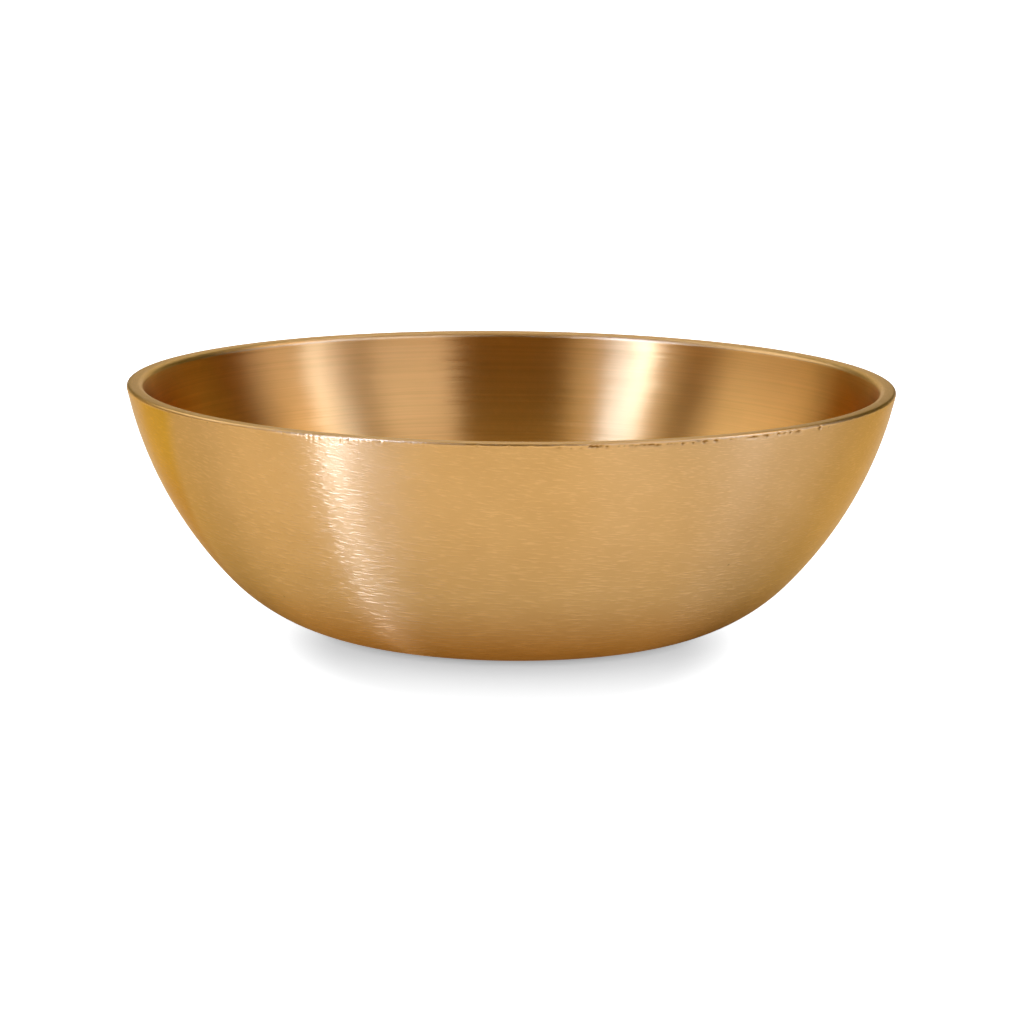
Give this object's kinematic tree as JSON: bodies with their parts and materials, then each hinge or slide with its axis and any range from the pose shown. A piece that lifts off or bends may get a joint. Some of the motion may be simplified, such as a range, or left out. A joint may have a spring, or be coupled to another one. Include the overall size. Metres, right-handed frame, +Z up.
{
  "type": "bronze bowl",
  "caption": "Round thick-walled open bowl of brushed bronze with a flat-topped lip, walls that curve in smoothly to a flat base, and an open inside.",
  "frame": {"origin": "centre of the flat base, on the surface that the bowl stands on", "axes": "+Z up along the bowl's axis, towards its open mouth; +X and +Y are any two directions square to it"},
  "size_m": [0.2, 0.2, 0.0648],
  "materials": {
    "brushed_bronze": "brushed round the axis with fine lines, satin, inside turned smoother and shinier"
  },
  "bodies": {
    "root": {"bowl": "brushed_bronze"}
  },
  "joints": []
}
